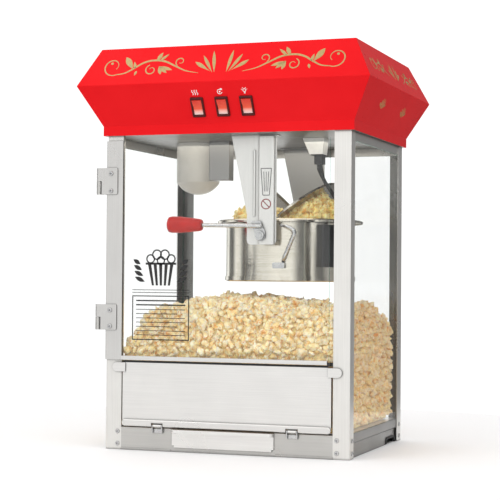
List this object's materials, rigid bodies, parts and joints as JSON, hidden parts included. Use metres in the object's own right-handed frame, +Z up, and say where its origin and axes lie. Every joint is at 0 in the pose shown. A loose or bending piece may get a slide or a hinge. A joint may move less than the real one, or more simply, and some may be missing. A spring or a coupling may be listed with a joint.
{
  "type": "popcorn machine",
  "caption": "Countertop popcorn machine: glazed steel cabinet with hinged front door, drop panel, crumb drawer, flared canopy and a tilting kettle with half-moon lids.",
  "frame": {"origin": "centre of the machine's footprint at the surface it stands on", "axes": "+Z up, +Y to the back, so the door faces -Y, +X to the right seen from the front"},
  "size_m": [0.5734, 0.4714, 0.76],
  "materials": {
    "frame_steel": "brushed sheet",
    "bright_steel": "fine brushed",
    "plated_steel": "zinc plated",
    "canopy_red": "gloss powder coat",
    "ceiling_grey": "satin",
    "pane": "clear",
    "lamp_plastic": "frosted",
    "bulb_glass": "frosted, lit",
    "black_plastic": "fine grain",
    "bezel_plastic": "semi-gloss",
    "rocker_red": "translucent, lit",
    "grip_red": "gloss",
    "kettle_steel": "spun and polished",
    "pan_metal": "seasoned by use",
    "heater_metal": "bare",
    "white_paint": "satin",
    "bronze": "plain bearing",
    "rubber": "matt"
  },
  "bodies": {
    "root": {"front_posts": "frame_steel", "rear_posts": "frame_steel", "base_front_strip": "frame_steel", "base_rear_strip": "frame_steel", "base_side_left": "frame_steel", "base_side_right": "frame_steel", "base_plate": "frame_steel", "deck_plate": "bright_steel", "drawer_runners": "plated_steel", "top_rails": "frame_steel", "ceiling_plate": "ceiling_grey", "canopy_shell": "canopy_red", "canopy_top": "canopy_red", "hanger_front": "bright_steel", "hanger_rear": "bright_steel", "pivot_bushes": "bronze", "lamp_cup": "lamp_plastic", "lamp_bulb": "bulb_glass", "lamp_socket": "white_paint", "wiring_box": "bright_steel", "outlet_bracket": "white_paint", "outlet_socket": "black_plastic", "kettle_plug": "black_plastic", "side_glass": "pane", "rear_glass": "pane", "hinge_leaves_fixed": "frame_steel", "hinge_pins": "plated_steel", "frame_screws": "plated_steel", "panel_hinge_brackets": "plated_steel", "door_magnet": "black_plastic", "cord_grommet": "rubber", "switch_bezels": "bezel_plastic", "kettle_lead": "rubber"},
    "door": {"door_glass": "pane", "door_stile": "bright_steel", "door_bottom_channel": "bright_steel", "hinge_leaves_door": "bright_steel", "hinge_screws": "plated_steel", "door_strike": "black_plastic"},
    "drop_panel": {"drop_panel": "bright_steel", "panel_hem": "bright_steel"},
    "drawer": {"drawer_tray": "frame_steel", "drawer_front": "bright_steel"},
    "kettle": {"kettle_shell": "kettle_steel", "kettle_pan": "kettle_steel", "kettle_base": "kettle_steel", "kettle_heater": "heater_metal", "stir_motor": "plated_steel", "trunnion_pins": "plated_steel", "lid_crossbar": "kettle_steel", "handle_crank": "plated_steel", "handle_grip": "grip_red", "kettle_brace": "plated_steel", "terminal_box": "black_plastic"},
    "lid_left": {"lid_left": "kettle_steel"},
    "lid_right": {"lid_right": "kettle_steel"},
    "stirrer": {"stirrer": "plated_steel"},
    "rocker_1": {"rocker_1": "rocker_red"},
    "rocker_2": {"rocker_2": "rocker_red"},
    "rocker_3": {"rocker_3": "rocker_red"}
  },
  "joints": [
    {"name": "door_swing", "type": "hinge", "parent": "root", "child": "door", "pos_m": [-0.2575, -0.193, 0.38], "axis": [0, 0, -1], "range_deg": [0, 170]},
    {"name": "panel_drop", "type": "hinge", "parent": "root", "child": "drop_panel", "pos_m": [0, -0.193, 0.047], "axis": [1, 0, 0], "range_deg": [0, 90]},
    {"name": "drawer_slide", "type": "slide", "parent": "root", "child": "drawer", "axis": [0, -1, 0], "range_m": [0, 0.2]},
    {"name": "kettle_tilt", "type": "hinge", "parent": "root", "child": "kettle", "pos_m": [0.056, 0.005, 0.406], "axis": [0, -1, 0], "range_deg": [0, 80], "deforming": ["kettle_lead"]},
    {"name": "lid_left_lift", "type": "hinge", "parent": "kettle", "child": "lid_left", "pos_m": [0.053, 0.012, 0.4427], "axis": [0, 1, 0], "range_deg": [-50, 10]},
    {"name": "lid_right_lift", "type": "hinge", "parent": "kettle", "child": "lid_right", "pos_m": [0.067, 0.012, 0.4427], "axis": [0, -1, 0], "range_deg": [-40, 20]},
    {"name": "stirrer_spin", "type": "hinge", "parent": "kettle", "child": "stirrer", "pos_m": [0.06, 0.012, 0.36], "axis": [0, 0, 1], "continuous": true},
    {"name": "rocker_1_press", "type": "hinge", "parent": "root", "child": "rocker_1", "pos_m": [-0.0485, -0.21271, 0.64281], "axis": [-1, 0, 0], "range_deg": [0, 16]},
    {"name": "rocker_2_press", "type": "hinge", "parent": "root", "child": "rocker_2", "pos_m": [0, -0.21271, 0.64281], "axis": [-1, 0, 0], "range_deg": [0, 16]},
    {"name": "rocker_3_press", "type": "hinge", "parent": "root", "child": "rocker_3", "pos_m": [0.0485, -0.21271, 0.64281], "axis": [-1, 0, 0], "range_deg": [0, 16]}
  ]
}
